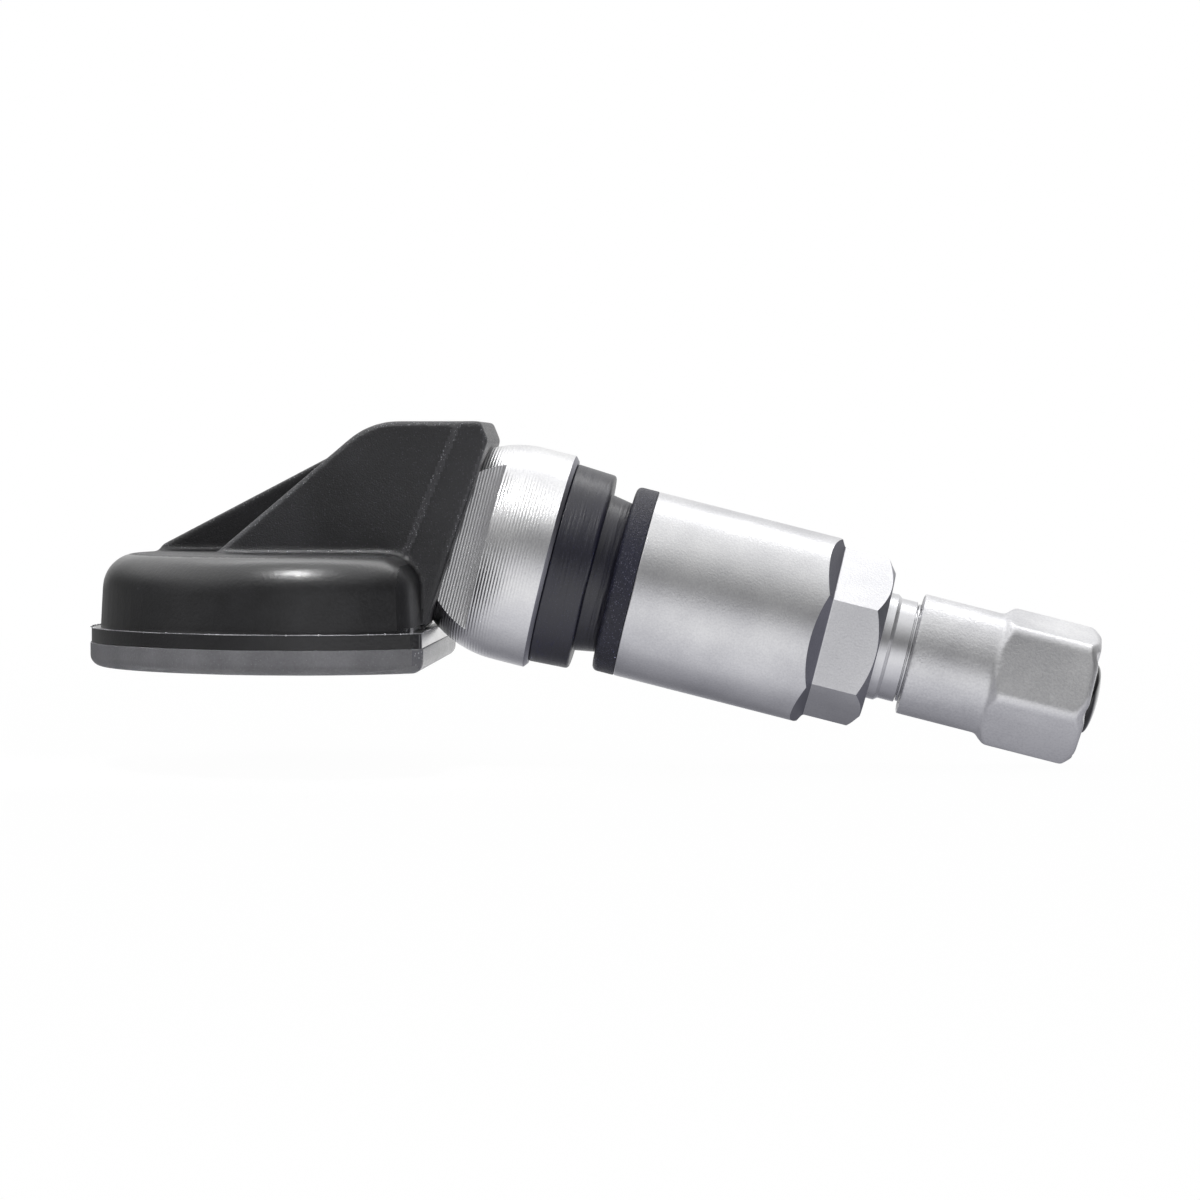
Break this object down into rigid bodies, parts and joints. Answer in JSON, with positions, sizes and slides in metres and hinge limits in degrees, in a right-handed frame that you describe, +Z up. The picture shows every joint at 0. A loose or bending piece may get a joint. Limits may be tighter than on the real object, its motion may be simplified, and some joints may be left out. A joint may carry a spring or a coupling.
{
  "type": "tyre pressure sensor",
  "caption": "Wheel-mounted tyre pressure sensor: winged plastic housing clamped at an adjustable angle to a metal clamp-in valve with sleeve nut and cap.",
  "frame": {"origin": "middle of the grommet's seat against the wheel rim, on the valve's axis", "axes": "+Z up from the level base of the housing, +X along the housing towards the cap; the valve slopes 14.25 degrees down from +X"},
  "size_m": [0.0813, 0.046, 0.0275],
  "materials": {
    "stem_metal": "satin blasted, turned grooves on the head",
    "nut_metal": "satin blasted barrel, milled flats",
    "cap_metal": "coarse matt blasted",
    "grommet_rubber": "black moulded rubber",
    "washer_plastic": "black glass-filled plastic",
    "housing_plastic": "black spark-eroded mould texture",
    "cover_plastic": "dark grey moulded plastic",
    "board_laminate": "green solder mask",
    "cell_steel": "drawn steel can",
    "tab_nickel": "nickel strip",
    "chip_plastic": "moulded package",
    "crystal_can": "metal lid",
    "coil_wire": "enamelled copper wire",
    "antenna_wire": "plated wire",
    "seal_rubber": "moulded rubber",
    "screw_steel": "zinc plated steel",
    "core_brass": "turned brass",
    "spring_steel": "drawn spring wire",
    "disc_plastic": "dark domed resin"
  },
  "bodies": {
    "stem": {"valve_stem": "stem_metal", "grommet": "grommet_rubber", "fixing_screw": "screw_steel", "saddle_washer": "screw_steel", "core_body": "core_brass", "core_seal": "seal_rubber", "core_spring": "spring_steel"},
    "housing": {"housing": "housing_plastic", "base_cover": "cover_plastic", "circuit_board": "board_laminate", "battery": "cell_steel", "cell_tab_lower": "tab_nickel", "cell_tab_upper": "tab_nickel", "pressure_chip": "chip_plastic", "crystal": "crystal_can", "wake_coil": "coil_wire", "radio_antenna": "antenna_wire", "port_seal": "seal_rubber"},
    "washer": {"rim_washer": "washer_plastic"},
    "nut": {"sleeve_nut": "nut_metal"},
    "cap_seal": {"cap_seal": "seal_rubber"},
    "cap": {"valve_cap": "cap_metal", "cap_disc": "disc_plastic"},
    "pin": {"core_pin": "core_brass", "core_cup": "seal_rubber"}
  },
  "joints": [
    {"name": "housing_tilt", "type": "hinge", "parent": "stem", "child": "housing", "pos_m": [-0.00595, 0, 0.00151], "axis": [0, 1, 0], "range_deg": [-15.75, 6.25]},
    {"name": "washer_slide", "type": "slide", "parent": "stem", "child": "washer", "axis": [0.9692, 0, -0.2462], "range_m": [0, 0.0024]},
    {"name": "nut_spin", "type": "hinge", "parent": "washer", "child": "nut", "pos_m": [0, 0, 0], "axis": [0.9692, 0, -0.2462], "range_deg": [0, 1080]},
    {"name": "seal_slide", "type": "slide", "parent": "stem", "child": "cap_seal", "axis": [0.9692, 0, -0.2462], "range_m": [0, 0.00953]},
    {"name": "cap_spin", "type": "hinge", "parent": "cap_seal", "child": "cap", "pos_m": [0, 0, 0], "axis": [0.9692, 0, -0.2462], "range_deg": [0, 4320]},
    {"name": "core_press", "type": "slide", "parent": "stem", "child": "pin", "axis": [-0.9692, 0, 0.2462], "range_m": [0, 0.0015], "stiffness_N_per_m": 1000, "springref_m": -0.001, "deforming": ["core_spring"]}
  ],
  "couplings": [
    {"joint": "nut_spin", "follows": "washer_slide", "rad_per_m": 7854},
    {"joint": "cap_spin", "follows": "seal_slide", "rad_per_m": 7911.7}
  ]
}
